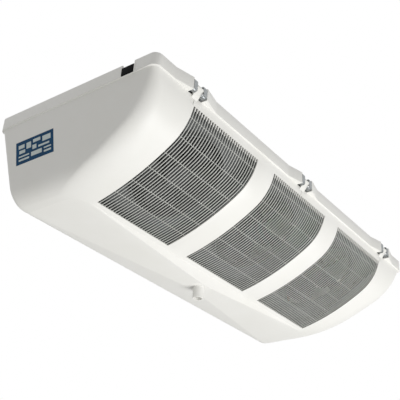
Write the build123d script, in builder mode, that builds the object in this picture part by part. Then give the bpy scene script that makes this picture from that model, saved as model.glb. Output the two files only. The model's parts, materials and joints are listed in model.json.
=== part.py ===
"""Ceiling-hung angled unit cooler: a hinged moulded casing under a frame with coil, motors and fans.

X runs along the cooler, the air grilles face -Y and down, +Z is up.
The origin is the centre of the ceiling face.
"""

from math import asin, atan2, cos, degrees, hypot, radians, sin, sqrt, tan
import os

from build123d import *

os.makedirs("parts", exist_ok=True)

# Casing: the white moulding that carries grilles and drain tray
length = 1090.0
depth = 441.0
wall = 3.0
ceiling_gap = 1.5
rim_height = 28.0
rim_step = 4.0
rim_corner = 15.0
body_drop = 200.0
end_draft = 12.8
end_bottom_round = 55.0
back_draft = 8.3
back_bottom_round = 12.0
back_corner = 12.0
front_draft = 11.0
front_flat = 17.0
nose_radius = 115.0
nose_turn = 46.4
slope_radius = 585.0
corner_growth = 0.33
corner_largest = 52.0
blend_margin = 1.5
body_sections = 11

# Air grilles moulded into the casing
grille_count = 3
grille_end = 97.1
slot_count = 30
slot_pitch = 7.8
slot_width = 5.4
grille_top_drop = 45.0
grille_bottom_inset = 243.5
bar_count = 6
bar_pitch = 44.8
bar_first = 22.0
bar_width = 3.0
bar_depth = 2.5
bar_overlap = 4.0

# Drain tray and spigot
funnel_depth = 20.5
funnel_inset = 291.5
funnel_pad = 46.0
spigot_radius = 13.5
spigot_bore = 10.0
spigot_length = 29.0
spigot_flange_radius = 20.0
spigot_flange = 3.0
spigot_neck_radius = 15.0
spigot_clearance = 0.1

# Rear air window in the casing
window_end = 45.0
window_top_drop = 46.0
window_bottom_drop = 152.0
window_bays = 3
window_post = 20.0
window_corner = 8.0

# Front hinge stations
station_end = 126.0
station_count = 3
flare_out = 10.0
flare_ramp = 42.0
flare_crest = 2.0
flare_hollow_short = 9.0
gap_half = 22.0
hinge_out = 5.5
hinge_drop = 12.5
pin_radius = 2.5
pin_clearance = 0.06
knuckle_half = 9.5
knuckle_radius = 5.0
knuckle_root = 1.0
bracket_inner = 10.2
bracket_width = 11.0
bracket_web = 3.0
bracket_plate = 2.0
bracket_reach = 5.0
bracket_lap = 22.0
bracket_bend = 4.0
bracket_play = 1.0
pin_overhang = 1.0

# Cable notch in the left end
notch_inset = 71.5
notch_width = 31.0
notch_bottom_drop = 27.5
grommet_top_drop = 8.5
grommet_lip = 2.0

# Hanging frame
sheet = 2.0
plate_end = 11.0
plate_front = 12.5
plate_back = 13.5
flange_height = 15.0
bolt_edge_x = 40.0
bolt_edge_y = 28.0
bolt_radius = 4.5
screw_end = 195.0
screw_radius = 2.5
screw_head_radius = 6.0
screw_head = 4.0
screw_drop = 12.0
screw_slot = 8.0
screw_collar_radius = 4.5
screw_collar = 3.0
screw_clearance = 0.4

# Coil
tube_pitch = 35.0
tube_rows = 2
tube_levels = 5
tube_radius = 6.0
coil_end = 97.0
fin_count = 28
fin_thickness = 1.2
fin_edge = 8.0
coil_inset = 52.5
coil_top = 4.0
end_sheet_margin = 4.0
end_sheet_flange = 14.0
bend_straight = 4.0
header_radius = 9.0
header_out = 20.0
liquid_radius = 6.0
liquid_stub_radius = 4.76
liquid_out = 38.0
branch_radius = 4.0
suction_stub_radius = 7.94
stub_inset = 16.5
stub_socket = 30.0
stub_neck = 0.8
tube_sides = 8

# Fans
fan_tilt = 33.0
fan_inset = 139.5
fan_drop = 100.5
blade_count = 5
blade_tip = 98.0
blade_chord = 72.0
blade_root_width = 40.0
blade_angle = 34.0
blade_camber = 9.0
blade_thickness = 2.4
hub_radius = 31.0
hub_half = 15.0
hub_cap = 2.5
spindle_radius = 4.0
spindle_clearance = 0.05
ring_radius = 104.0
ring_wall = 2.0
ring_length = 18.0
deck_inset = 38.5
deck_bottom_drop = 163.5
strap_width = 30.0
strap_gap = 50.6
strap_back = 30.0
strap_foot = 18.0
motor_side = 74.0
motor_length = 44.0
motor_corner = 12.0

# Electrics at the left end
box_end = 49.0
box_gap = 7.0
box_width = 38.0
box_inset = 95.5
box_depth = 96.0
box_height = 52.0
lid = 3.0
gland_radius = 9.0
gland_length = 10.0
gland_bore = 5.0
hex_sides = 6

# Levels and places that follow from the sizes above
casing_top = -ceiling_gap
rim_bottom = casing_top - rim_height
floor = casing_top - body_drop
half_length = length / 2
half_depth = depth / 2
body_front_top = -half_depth + rim_step
body_back = half_depth - rim_step
body_end = half_length - rim_step
hinge_y = -half_depth - hinge_out
hinge_z = casing_top - hinge_drop
station_pitch = half_length - station_end
window_half = half_length - window_end
notch_y = -half_depth + notch_inset
funnel_y = -half_depth + funnel_inset
grille_top = casing_top - grille_top_drop
grille_bottom_y = -half_depth + grille_bottom_inset
grille_pitch = (length - 2 * grille_end) / grille_count
station_xs = [station_pitch * (i - (station_count - 1) / 2) for i in range(station_count)]
grille_xs = [grille_pitch * (i - (grille_count - 1) / 2) for i in range(grille_count)]
side_names = ["left", "middle", "right"]
plate_half_length = half_length - plate_end
bolt_spacing_x = length - 2 * bolt_edge_x
bolt_spacing_y = depth - 2 * bolt_edge_y
screw_x = half_length - screw_end
fan_y = -half_depth + fan_inset
fan_z = casing_top - fan_drop
strap_reach = (grille_pitch - strap_gap) / 2
fin_length = length - 2 * coil_end
coil_back = half_depth - coil_inset
stub_end = half_depth - stub_inset
coil_depth = tube_pitch * tube_rows
coil_front = coil_back - coil_depth
coil_height = tube_pitch * tube_levels
coil_bottom = -coil_top - coil_height
row_ys = [coil_back - tube_pitch * (row + 0.5) for row in range(tube_rows)]
level_zs = [-coil_top - tube_pitch * (level + 0.5) for level in range(tube_levels)]
end_sheet_x = fin_length / 2
box_x = -half_length + box_end
box_y = -half_depth + box_inset
deck_half = -box_x - box_width / 2 - box_gap
deck_front = -half_depth + deck_inset
gland_z = casing_top - (grommet_top_drop + notch_bottom_drop) / 2


def front_curve():
    """Centres of the nose and slope arcs of the front profile, and the angles where they start and end."""
    line_end_y = body_front_top + front_flat * tan(radians(front_draft))
    line_end_z = rim_bottom - front_flat
    start = radians(180 + front_draft)
    turn = start + radians(nose_turn)
    nose_y = line_end_y - nose_radius * cos(start)
    nose_z = line_end_z - nose_radius * sin(start)
    slope_y = nose_y + (nose_radius - slope_radius) * cos(turn)
    slope_z = nose_z + (nose_radius - slope_radius) * sin(turn)
    return (line_end_y, line_end_z), (nose_y, nose_z), (slope_y, slope_z), start, turn


def front_y(z, inset):
    """Y of the front profile at height z, moved inwards by inset."""
    line_end, nose, slope, start, turn = front_curve()
    if z > nose[1] + (nose_radius - inset) * sin(start):
        return line_end[0] + (z - line_end[1]) * -tan(radians(front_draft)) + inset / cos(radians(front_draft))
    centre, radius = nose, nose_radius - inset
    if z < nose[1] + radius * sin(turn):
        centre, radius = slope, slope_radius - inset
    return centre[0] - sqrt(radius**2 - (z - centre[1]) ** 2)


def inner_facets():
    """Corners (y, z) of the flat facets inside the front wall, from the rim down to the tray."""
    line_end, nose, slope, start, turn = front_curve()
    end_angle = radians(180) + asin((slope[1] - floor - wall) / (slope_radius - wall))
    corners = [(front_y(rim_bottom + wall + blend_margin, wall), rim_bottom + wall + blend_margin)]
    for centre, radius, angles in (
        (nose, nose_radius - wall, (start, (start + turn) / 2)),
        (slope, slope_radius - wall, (turn, (turn + end_angle) / 2, end_angle)),
    ):
        for angle in angles:
            corners.append((centre[0] + radius * cos(angle), centre[1] + radius * sin(angle)))
    return corners


def on_facet(distance):
    """Point (y, z) inside the front wall at a distance down from the grilles' top, and the facet's direction."""
    corners = inner_facets()
    start_z = grille_top
    for (y0, z0), (y1, z1) in zip(corners, corners[1:]):
        if z1 >= start_z:
            continue
        if z0 > start_z:
            y0, z0 = y0 + (y1 - y0) * (z0 - start_z) / (z0 - z1), start_z
        facet = hypot(y1 - y0, z1 - z0)
        if distance <= facet:
            share = distance / facet
            return y0 + (y1 - y0) * share, z0 + (z1 - z0) * share, atan2(z1 - z0, y1 - y0)
        distance -= facet
        start_z = z1


def leaning(z, top, draft, inset):
    """Distance from the middle of a straight wall that leans in by its draft angle."""
    return top - (rim_bottom - z) * tan(radians(draft)) - inset / cos(radians(draft))


def drafted_wall(z, top, draft, bottom_round, inset):
    """The same wall where it rounds into the floor."""
    lean = radians(draft)
    centre_z = floor + bottom_round
    centre = leaning(centre_z, top, draft, bottom_round)
    radius = bottom_round - inset
    if z < centre_z - radius * sin(lean):
        return centre + sqrt(max(radius**2 - (z - centre_z) ** 2, 0))
    return leaning(z, top, draft, inset)


def body_block(inset):
    """The casing body as a solid, moved inwards by inset: side outline, end outline, rounded corners."""
    top_z = rim_bottom + inset
    above_z = top_z + blend_margin
    floor_z = floor + inset
    line_end, _, slope, _, turn = front_curve()
    end_angle = radians(180) + asin((slope[1] - floor) / slope_radius)
    with BuildPart() as block:
        for section in range(body_sections + 1):
            z = top_z - (body_drop - rim_height + blend_margin) * sin(radians(90) * section / body_sections)
            x = drafted_wall(z, body_end, end_draft, end_bottom_round, inset) + blend_margin
            front = front_y(z, inset) - blend_margin
            back = drafted_wall(z, body_back, back_draft, back_bottom_round, inset) + blend_margin
            front_round = min(corner_largest, rim_corner + corner_growth * (top_z - z)) - inset
            with BuildSketch(Plane.XY.offset(z)):
                with BuildLine():
                    FilletPolyline((-x, front), (x, front), (x, back), (-x, back), close=True,
                                   radius=(front_round, front_round, back_corner - inset, back_corner - inset))
                make_face()
        loft(ruled=True)
        with BuildSketch(Plane.YZ):
            with BuildLine():
                if inset:
                    front_line = Polyline(*inner_facets())
                    slope_end = front_line @ 1
                    front_top = front_line @ 0
                else:
                    wall_line = Line((front_y(above_z, 0), above_z), line_end)
                    nose = JernArc(wall_line @ 1, wall_line % 1, nose_radius, nose_turn)
                    slope_arc = JernArc(nose @ 1, nose % 1, slope_radius, degrees(end_angle - turn))
                    slope_end = slope_arc @ 1
                    front_top = wall_line @ 0
                back_line = FilletPolyline(slope_end,
                                           (leaning(floor_z, body_back, back_draft, inset), floor_z),
                                           (leaning(above_z, body_back, back_draft, inset), above_z),
                                           radius=back_bottom_round - inset)
                Line(back_line @ 1, front_top)
            make_face()
        extrude(amount=half_length, both=True, mode=Mode.INTERSECT)
        with BuildSketch(Plane.XZ):
            with BuildLine():
                top_x = leaning(above_z, body_end, end_draft, inset)
                floor_x = leaning(floor_z, body_end, end_draft, inset)
                ends = FilletPolyline((-top_x, above_z), (-floor_x, floor_z), (floor_x, floor_z),
                                      (top_x, above_z), radius=end_bottom_round - inset)
                Line(ends @ 1, ends @ 0)
            make_face()
        extrude(amount=depth, both=True, mode=Mode.INTERSECT)
        tray_front = front_y(floor, 0)
        tray_back = leaning(floor, body_back, back_draft, 0) - back_bottom_round
        tray_end = leaning(floor, body_end, end_draft, 0) - end_bottom_round
        with BuildSketch(Plane.XY.offset(floor_z)):
            with Locations((0, (tray_front + tray_back) / 2)):
                Rectangle(2 * tray_end, tray_back - tray_front)
        with BuildSketch(Plane.XY.offset(floor_z - funnel_depth)):
            with Locations((0, funnel_y)):
                Rectangle(funnel_pad, funnel_pad)
        loft(ruled=True)
    return block.part


def flare(station_x, side, inset):
    """One ramped flare of the front rim beside a hinge gap, in plan."""
    start = station_x + side * (gap_half if inset == 0 else 0)
    crest = station_x + side * (gap_half + flare_crest)
    ramp_end = station_x + side * (gap_half + flare_crest + flare_ramp - (flare_hollow_short if inset else 0))
    base = -half_depth + 2 * wall
    front = -half_depth + inset
    tip = front - flare_out
    corners = [(start, base), (start, tip), (crest, tip), (ramp_end, front), (ramp_end, base)]
    Polygon(*corners[::-side], align=None)


outer_body = body_block(0)
inner_body = body_block(wall)

with BuildPart() as gap_cutter:
    gap_back = body_front_top + wall
    with BuildSketch(Plane.XY.offset(rim_bottom)):
        for x in station_xs:
            with Locations((x, gap_back - depth / 4)):
                Rectangle(2 * gap_half, depth / 2)
    extrude(amount=rim_height)

with BuildPart() as knuckles:
    root_y = body_front_top + wall / 2
    for x in station_xs:
        with BuildSketch(Plane.YZ.offset(x)):
            with BuildLine():
                CenterArc((hinge_y, hinge_z), knuckle_radius, 0, 360)
                Line((root_y, rim_bottom - knuckle_root), (root_y, rim_bottom - 2 * wall))
            make_hull()
        extrude(amount=knuckle_half, both=True)

with BuildPart() as pin_bores:
    for x in station_xs:
        with BuildSketch(Plane.YZ.offset(x)):
            with Locations((hinge_y, hinge_z)):
                Circle(pin_radius + pin_clearance)
    extrude(amount=gap_half, both=True)

with BuildPart() as slot_cutters:
    below = floor - 2 * funnel_depth
    for grille_x in grille_xs:
        for i in range(slot_count):
            with BuildSketch(Plane.YZ.offset(grille_x + slot_pitch * (i - (slot_count - 1) / 2))):
                Polygon((-half_depth, grille_top), (front_y(grille_top, wall) + 2 * wall, grille_top),
                        (grille_bottom_y, floor + 5 * wall), (grille_bottom_y, below), (-half_depth, below),
                        align=None)
    extrude(amount=slot_width / 2, both=True)

with BuildPart() as window_cutter:
    bay = (2 * window_half - (window_bays - 1) * window_post) / window_bays
    window_middle = casing_top - (window_top_drop + window_bottom_drop) / 2
    with BuildSketch(Plane.XZ.offset(-half_depth)):
        for i in range(window_bays):
            with Locations(((bay + window_post) * (i - (window_bays - 1) / 2), window_middle)):
                RectangleRounded(bay, window_bottom_drop - window_top_drop, window_corner)
    extrude(amount=depth / 8)

with BuildPart() as casing:
    add(outer_body)
    with BuildSketch(Plane.XY.offset(rim_bottom)):
        RectangleRounded(length, depth, rim_corner)
        for x in station_xs:
            flare(x, -1, 0)
            flare(x, 1, 0)
    extrude(amount=rim_height)
    add(inner_body, mode=Mode.SUBTRACT)
    with BuildSketch(Plane.XY.offset(rim_bottom + wall)):
        RectangleRounded(length - 2 * wall, depth - 2 * wall, rim_corner - wall)
        for x in station_xs:
            flare(x, -1, wall)
            flare(x, 1, wall)
    extrude(amount=rim_height, mode=Mode.SUBTRACT)
    add(gap_cutter.part, mode=Mode.SUBTRACT)
    add(knuckles.part)
    add(pin_bores.part, mode=Mode.SUBTRACT)
    add(window_cutter.part, mode=Mode.SUBTRACT)
    with BuildSketch(Plane.YZ.offset(-half_length)):
        with Locations((notch_y, casing_top - notch_bottom_drop / 2)):
            Rectangle(notch_width, notch_bottom_drop)
    extrude(amount=2 * wall, both=True, mode=Mode.SUBTRACT)
    with BuildSketch(Plane.XY.offset(floor - funnel_depth)):
        with Locations((0, funnel_y)):
            Circle(spigot_neck_radius + spigot_clearance)
    extrude(amount=2 * wall, both=True, mode=Mode.SUBTRACT)
    with BuildSketch(Plane.XZ.offset(-half_depth)):
        with Locations((-screw_x, casing_top - screw_drop), (screw_x, casing_top - screw_drop)):
            Circle(screw_radius + screw_clearance)
    extrude(amount=2 * wall, both=True, mode=Mode.SUBTRACT)
    add(slot_cutters.part, mode=Mode.SUBTRACT)
casing.part.label = "casing"
export_step(casing.part, "parts/casing.step")

# Thin bars behind the slots, which hold the ribs of each grille
for name, x in zip(side_names, grille_xs):
    with BuildPart() as bars:
        for i in range(bar_count):
            y, z, angle = on_facet(bar_first + i * bar_pitch)
            along = Vector(0, cos(angle), sin(angle))
            with BuildSketch(Plane(origin=(x, y, z), x_dir=along, z_dir=(1, 0, 0))):
                Rectangle(bar_width, bar_depth, align=(Align.CENTER, Align.MIN))
        extrude(amount=(slot_count * slot_pitch) / 2 + bar_overlap, both=True)
    bars.part.label = f"grille_bars_{name}"
    export_step(bars.part, f"parts/grille_bars_{name}.step")

# Drain spigot: a tube under the tray's lowest point, with a neck through the wall and a flange inside
pad_top = floor - funnel_depth + wall
with BuildPart() as drain_spigot:
    with BuildSketch(Plane.XY.offset(pad_top)):
        with Locations((0, funnel_y)):
            Circle(spigot_flange_radius)
    extrude(amount=spigot_flange)
    with BuildSketch(Plane.XY.offset(pad_top)):
        with Locations((0, funnel_y)):
            Circle(spigot_neck_radius)
    extrude(amount=-wall)
    with BuildSketch(Plane.XY.offset(pad_top - wall)):
        with Locations((0, funnel_y)):
            Circle(spigot_radius)
    extrude(amount=-spigot_length)
    with BuildSketch(Plane.XY.offset(pad_top + spigot_flange)):
        with Locations((0, funnel_y)):
            Circle(spigot_bore)
    extrude(amount=-2 * spigot_length, mode=Mode.SUBTRACT)
drain_spigot.part.label = "drain_spigot"
export_step(drain_spigot.part, "parts/drain_spigot.step")

# Rubber grommet in the cable notch, lipped over both faces of the rim
grommet_top = casing_top - grommet_top_drop
grommet_bottom = casing_top - notch_bottom_drop
with BuildPart() as cable_grommet:
    with BuildSketch(Plane.YZ.offset(-half_length - grommet_lip)):
        with Locations((notch_y, (grommet_top + grommet_bottom) / 2)):
            Rectangle(notch_width, grommet_top - grommet_bottom)
    extrude(amount=wall + 2 * grommet_lip)
    with BuildSketch(Plane.YZ.offset(-half_length + wall)):
        with Locations((notch_y, (grommet_top + rim_bottom + wall) / 2)):
            Rectangle(notch_width + 2 * grommet_lip, grommet_top - rim_bottom - wall)
    extrude(amount=grommet_lip)
cable_grommet.part.label = "cable_grommet"
export_step(cable_grommet.part, "parts/cable_grommet.step")

# Captive screws at the back, whose shanks slide down out of open slots in the top plate's flange
flange_back = half_depth - plate_back
flange_front = -half_depth + plate_front
for name, x in (("left", -screw_x), ("right", screw_x)):
    with BuildPart() as screw:
        screw_plane = Plane(origin=(x, half_depth, casing_top - screw_drop), x_dir=(1, 0, 0), z_dir=(0, 1, 0))
        with BuildSketch(screw_plane):
            RegularPolygon(screw_head_radius, hex_sides)
        extrude(amount=screw_head)
        with BuildSketch(screw_plane):
            Circle(screw_radius)
        extrude(amount=-(plate_back + sheet + screw_clearance))
        with BuildSketch(screw_plane.offset(-(plate_back + sheet + screw_clearance))):
            RegularPolygon(screw_collar_radius, hex_sides)
        extrude(amount=-screw_collar)
    screw.part.label = f"rear_screw_{name}"
    export_step(screw.part, f"parts/rear_screw_{name}.step")

# Top plate: a folded sheet that hangs from the ceiling
with BuildPart() as top_plate:
    plate_depth = flange_back - flange_front
    with BuildSketch():
        with Locations((0, (flange_back + flange_front) / 2)):
            Rectangle(2 * plate_half_length, plate_depth)
    extrude(amount=-flange_height - sheet)
    with BuildSketch(Plane.XY.offset(-sheet)):
        with Locations((0, (flange_back + flange_front) / 2)):
            Rectangle(2 * (plate_half_length - sheet), plate_depth - 2 * sheet)
    extrude(amount=-flange_height, mode=Mode.SUBTRACT)
    with BuildSketch():
        with GridLocations(bolt_spacing_x, bolt_spacing_y, 2, 2):
            Circle(bolt_radius)
    extrude(amount=-sheet, mode=Mode.SUBTRACT)
    slot_top = casing_top - screw_drop + screw_slot / 2
    with BuildSketch(Plane.XZ.offset(-flange_back)):
        for x in (-screw_x, screw_x):
            with Locations((x, (slot_top - flange_height - 2 * sheet) / 2)):
                Rectangle(screw_slot, slot_top + flange_height + 2 * sheet)
    extrude(amount=2 * sheet, mode=Mode.SUBTRACT)
    relief = 2 * (bracket_inner + bracket_width + bracket_play)
    with BuildSketch(Plane.XZ.offset(-flange_front)):
        for x in station_xs:
            with Locations((x, -sheet - flange_height / 2)):
                Rectangle(relief, flange_height)
    extrude(amount=-sheet, mode=Mode.SUBTRACT)
    with BuildSketch(Plane.YZ.offset(-plate_half_length)):
        with Locations((notch_y, -sheet - flange_height / 2)):
            Rectangle(notch_width, flange_height)
    extrude(amount=sheet, mode=Mode.SUBTRACT)
top_plate.part.label = "top_plate"
export_step(top_plate.part, "parts/top_plate.step")

# Hinge brackets: a pair of bent hooks at each station, hung under the top plate, with a web that holds the pin
hook_front = hinge_y - bracket_reach
hook_bottom = rim_bottom + sheet / 2
lap_end = flange_front + bracket_lap
for station, station_x in zip(side_names, station_xs):
    with BuildPart() as bracket:
        for hand in (-1, 1):
            near_face = Plane.YZ.offset(station_x + hand * bracket_inner)
            with BuildSketch(near_face):
                with BuildLine():
                    FilletPolyline((lap_end, -sheet - bracket_plate / 2),
                                   (hook_front + bracket_plate / 2, -sheet - bracket_plate / 2),
                                   (hook_front + bracket_plate / 2, hook_bottom + bracket_plate / 2),
                                   (hinge_y + bracket_reach, hook_bottom + bracket_plate / 2),
                                   radius=bracket_bend)
                trace(line_width=bracket_plate)
            extrude(amount=hand * bracket_width)
            with BuildSketch(near_face):
                with Locations((hinge_y, hinge_z)):
                    Circle(bracket_reach)
                    Rectangle(bracket_reach, 2 * bracket_reach, align=(Align.MAX, Align.CENTER))
            extrude(amount=hand * bracket_web)
            with BuildSketch(near_face):
                with Locations((hinge_y, hinge_z)):
                    Circle(pin_radius)
            extrude(amount=hand * bracket_web, mode=Mode.SUBTRACT)
    bracket.part.label = f"hinge_bracket_{station}"
    export_step(bracket.part, f"parts/hinge_bracket_{station}.step")

with BuildPart() as hinge_pins:
    for station_x in station_xs:
        with BuildSketch(Plane.YZ.offset(station_x)):
            with Locations((hinge_y, hinge_z)):
                Circle(pin_radius)
    extrude(amount=bracket_inner + bracket_web + pin_overhang, both=True)
hinge_pins.part.label = "hinge_pins"
export_step(hinge_pins.part, "parts/hinge_pins.step")

# Coil: finned pack between two end sheets, with return bends, suction header and liquid header
with BuildPart() as fin_pack:
    core = coil_depth - 2 * fin_edge
    with Locations((0, coil_back - coil_depth / 2, -coil_top - coil_height / 2)):
        Box(fin_length, core, coil_height - 2 * fin_edge)
    fin_step = (fin_length - fin_thickness) / (fin_count - 1)
    with BuildSketch(Plane.YZ.offset(-fin_length / 2)):
        with Locations((coil_back - coil_depth / 2, -coil_top - coil_height / 2)):
            Rectangle(coil_depth, coil_height)
    extrude(amount=fin_thickness)
    with Locations(*[(-fin_length / 2 + fin_step * i + fin_thickness / 2, coil_back - coil_depth / 2,
                      -coil_top - coil_height / 2) for i in range(1, fin_count)]):
        Box(fin_thickness, coil_depth, coil_height)
fin_pack.part.label = "fin_pack"
export_step(fin_pack.part, "parts/fin_pack.step")

for name, hand in (("left", -1), ("right", 1)):
    with BuildPart() as end_sheet:
        with BuildSketch(Plane.YZ.offset(hand * end_sheet_x)):
            with Locations((coil_back - coil_depth / 2, (coil_bottom - end_sheet_margin - sheet) / 2)):
                Rectangle(coil_depth + 2 * end_sheet_margin, -sheet - coil_bottom + end_sheet_margin)
        extrude(amount=hand * sheet)
        with BuildSketch(Plane.XY.offset(-sheet)):
            with Locations((hand * (end_sheet_x + end_sheet_flange / 2), coil_back - coil_depth / 2)):
                Rectangle(end_sheet_flange, coil_depth + 2 * end_sheet_margin)
        extrude(amount=-sheet)
    end_sheet.part.label = f"end_sheet_{name}"
    export_step(end_sheet.part, f"parts/end_sheet_{name}.step")

with BuildPart() as return_bends:
    bend_x = -end_sheet_x - sheet
    bend_out = bend_x - bend_straight - tube_pitch / 2
    for z in level_zs:
        with BuildLine():
            Polyline((bend_x, row_ys[0], z), (bend_out, row_ys[0], z),
                     (bend_out, row_ys[1], z), (bend_x, row_ys[1], z))
        with BuildSketch(Plane(origin=(bend_x, row_ys[0], z), x_dir=(0, 1, 0), z_dir=(-1, 0, 0))):
            RegularPolygon(tube_radius, tube_sides)
        sweep(transition=Transition.RIGHT)
return_bends.part.label = "return_bends"
export_step(return_bends.part, "parts/return_bends.step")

for name, radius, out, row, stub_z, stub_radius in (
    ("suction_header", header_radius, header_out, 0, level_zs[1], suction_stub_radius),
    ("liquid_header", liquid_radius, liquid_out, 1, level_zs[2], liquid_stub_radius),
):
    with BuildPart() as header:
        sheet_face = end_sheet_x + sheet
        pipe_x = sheet_face + out
        with BuildSketch(Plane.XY.offset(level_zs[-1] - radius)):
            with Locations((pipe_x, row_ys[row])):
                Circle(radius)
        extrude(amount=level_zs[0] - level_zs[-1] + 2 * radius)
        with BuildSketch(Plane.YZ.offset(sheet_face)):
            for z in level_zs:
                with Locations((row_ys[row], z)):
                    RegularPolygon(branch_radius, tube_sides)
        extrude(amount=out)
        with BuildSketch(Plane.XZ.offset(-row_ys[row])):
            with Locations((pipe_x, stub_z)):
                Circle(stub_radius - stub_neck)
        extrude(amount=-(stub_end - stub_socket - row_ys[row]))
        with BuildSketch(Plane.XZ.offset(stub_socket - stub_end)):
            with Locations((pipe_x, stub_z)):
                Circle(stub_radius)
        extrude(amount=-stub_socket)
    header.part.label = name
    export_step(header.part, f"parts/{name}.step")

# Fan deck: a folded sheet across the front, with a ring round each fan
tilt = radians(fan_tilt)
fan_axis = (0, -sin(tilt), -cos(tilt))
fan_planes = [Plane(origin=(x, fan_y, fan_z), x_dir=(1, 0, 0), z_dir=fan_axis) for x in grille_xs]
deck_bottom = casing_top - deck_bottom_drop
deck_top_z = fan_z + (deck_front - fan_y) * -tan(tilt)
deck_low_y = fan_y + (fan_z - deck_bottom) / tan(tilt)
with BuildPart() as fan_deck:
    with BuildSketch(Plane.YZ):
        with BuildLine() as deck_line:
            Polyline((deck_front, -sheet), (deck_front, deck_top_z), (deck_low_y, deck_bottom),
                     (coil_front - end_sheet_margin, deck_bottom))
        trace(line_width=sheet)
    extrude(amount=deck_half, both=True)
    for plane in fan_planes:
        with BuildSketch(plane):
            Circle(ring_radius + ring_wall)
        extrude(amount=ring_length)
        with BuildSketch(plane.offset(-4 * sheet)):
            Circle(ring_radius)
        extrude(amount=ring_length + 8 * sheet, mode=Mode.SUBTRACT)
    with BuildSketch():
        with Locations((0, (deck_front + coil_front) / 2)):
            Rectangle(2 * deck_half + sheet, depth)
    extrude(amount=-sheet, mode=Mode.SUBTRACT)
fan_deck.part.label = "fan_deck"
export_step(fan_deck.part, "parts/fan_deck.step")

foot_end = strap_reach + strap_foot
foot_near = sheet / 2
foot_far = foot_near + sheet
for name, plane in zip(side_names, fan_planes):
    with BuildPart() as strap:
        strap_face = Plane(origin=plane.from_local_coords((0, 0, 0)), x_dir=plane.x_dir, z_dir=plane.y_dir)
        with BuildSketch(strap_face):
            with BuildLine():
                Polyline((-foot_end, foot_near), (-strap_reach, foot_near), (-strap_reach, strap_back),
                         (strap_reach, strap_back), (strap_reach, foot_near), (foot_end, foot_near),
                         (foot_end, foot_far), (strap_reach + sheet, foot_far),
                         (strap_reach + sheet, strap_back + sheet), (-strap_reach - sheet, strap_back + sheet),
                         (-strap_reach - sheet, foot_far), (-foot_end, foot_far), close=True)
            make_face()
        extrude(amount=strap_width / 2, both=True)
        with BuildSketch(plane.offset(-strap_back - 2 * sheet)):
            Circle(spindle_radius)
        extrude(amount=4 * sheet, mode=Mode.SUBTRACT)
    strap.part.label = f"motor_strap_{name}"
    export_step(strap.part, f"parts/motor_strap_{name}.step")

    with BuildPart() as motor:
        with BuildSketch(plane.offset(-strap_back - sheet)):
            motor_face = Rectangle(motor_side, motor_side)
            chamfer(motor_face.vertices(), motor_corner)
        extrude(amount=-motor_length)
        with BuildSketch(plane.offset(-strap_back - sheet)):
            Circle(spindle_radius)
        extrude(amount=strap_back + sheet + hub_half - hub_cap - sheet)
    motor.part.label = f"motor_{name}"
    export_step(motor.part, f"parts/motor_{name}.step")

    with BuildPart() as blade:
        with BuildSketch(Plane(origin=plane.origin, x_dir=plane.y_dir, z_dir=plane.x_dir)):
            with BuildLine():
                pitch = Vector(cos(radians(blade_angle)), sin(radians(blade_angle))) * (blade_chord / 2)
                SagittaArc(-pitch, pitch, blade_camber)
            trace(line_width=blade_thickness)
        extrude(amount=blade_tip + hub_cap)
        with BuildSketch(plane.offset(-2 * hub_half)):
            Polygon((hub_radius - hub_cap, -blade_root_width / 2), (blade_tip + hub_cap, -blade_chord / 2),
                    (blade_tip + hub_cap, blade_chord / 2), (hub_radius - hub_cap, blade_root_width / 2),
                    align=None)
        extrude(amount=4 * hub_half, mode=Mode.INTERSECT)
    with BuildPart(plane) as fan:
        with PolarLocations(0, blade_count):
            add(plane.to_local_coords(blade.part))
        with BuildSketch(plane.offset(-2 * hub_half)):
            Circle(blade_tip)
        extrude(amount=4 * hub_half, mode=Mode.INTERSECT)
        with BuildSketch(plane.offset(-hub_half)):
            Circle(hub_radius)
        extrude(amount=2 * hub_half)
        with BuildSketch(plane.offset(-hub_half)):
            Circle(spindle_radius + spindle_clearance)
        extrude(amount=2 * hub_half - hub_cap, mode=Mode.SUBTRACT)
    fan.part.label = f"fan_{name}"
    export_step(fan.part, f"parts/fan_{name}.step")

# Terminal box with its lid and cable gland, hung from the top plate at the left end
with BuildPart() as terminal_box:
    with BuildSketch(Plane.XY.offset(-sheet)):
        with Locations((box_x, box_y)):
            Rectangle(box_width, box_depth)
    extrude(amount=-box_height)
    with BuildSketch(Plane.XY.offset(-sheet - box_height)):
        with Locations((box_x, box_y)):
            Rectangle(box_width - 2 * sheet, box_depth - 2 * sheet)
    extrude(amount=box_height - sheet, mode=Mode.SUBTRACT)
    with BuildSketch(Plane.YZ.offset(box_x - box_width / 2)):
        with Locations((notch_y, gland_z)):
            Circle(gland_bore)
    extrude(amount=sheet, mode=Mode.SUBTRACT)
terminal_box.part.label = "terminal_box"
export_step(terminal_box.part, "parts/terminal_box.step")

with BuildPart() as terminal_lid:
    with BuildSketch(Plane.XY.offset(-sheet - box_height)):
        with Locations((box_x, box_y)):
            Rectangle(box_width, box_depth)
    extrude(amount=-lid)
terminal_lid.part.label = "terminal_lid"
export_step(terminal_lid.part, "parts/terminal_lid.step")

with BuildPart() as cable_gland:
    with BuildSketch(Plane.YZ.offset(box_x - box_width / 2)):
        with Locations((notch_y, gland_z)):
            RegularPolygon(gland_radius, hex_sides)
            Circle(gland_bore, mode=Mode.SUBTRACT)
    extrude(amount=-gland_length)
cable_gland.part.label = "cable_gland"
export_step(cable_gland.part, "parts/cable_gland.step")
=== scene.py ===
import bpy, bmesh, json
from math import radians, sin, cos, tan, asin, atan2, sqrt, pi
from mathutils import Vector, Matrix

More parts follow.
